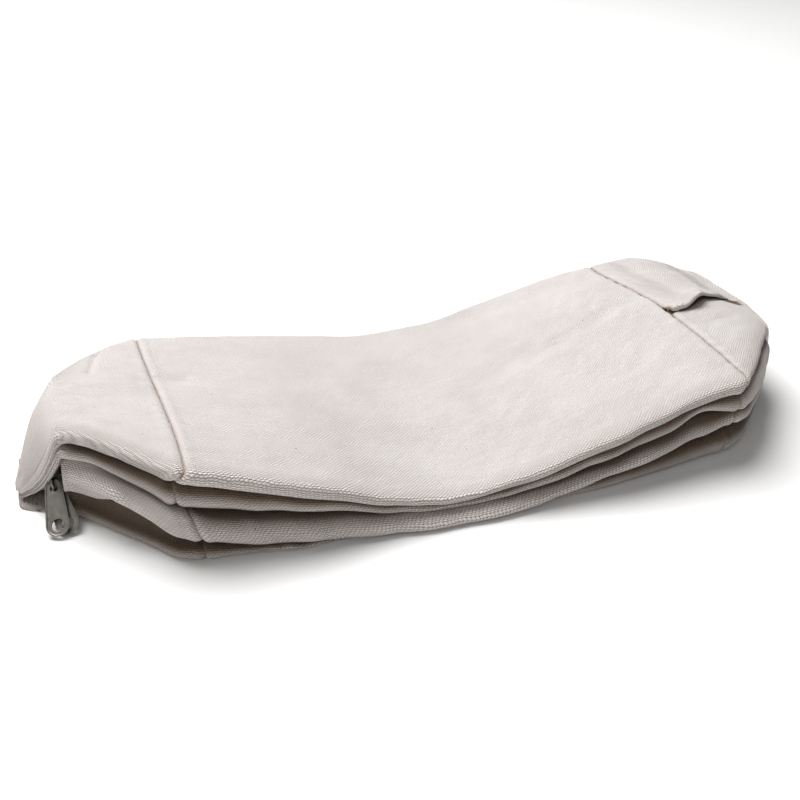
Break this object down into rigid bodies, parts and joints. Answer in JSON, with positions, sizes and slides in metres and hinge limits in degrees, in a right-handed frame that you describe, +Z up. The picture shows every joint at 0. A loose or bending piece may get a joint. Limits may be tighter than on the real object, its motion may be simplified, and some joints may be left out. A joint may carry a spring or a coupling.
{
  "type": "toiletry bag",
  "caption": "Unbleached cotton canvas toiletry bag, folded flat with its ends folded out, pinched thin in the middle, a zip slider with two metal pulls at one end.",
  "frame": {"origin": "middle of the box round the bag, at the level it lies on", "axes": "+X along the bag towards the end without the slider, +Y towards the tucked zip side, +Z up"},
  "size_m": [0.4402, 0.1882, 0.057],
  "materials": {
    "canvas": "matte",
    "zip_tape": "matte",
    "pull_metal": "satin"
  },
  "bodies": {
    "root": {"body": "canvas", "end_panel_left": "canvas", "end_panel_right": "canvas", "zip": "zip_tape", "zip_slider": "pull_metal", "pull_tab_1": "pull_metal", "pull_tab_2": "pull_metal"}
  },
  "joints": []
}
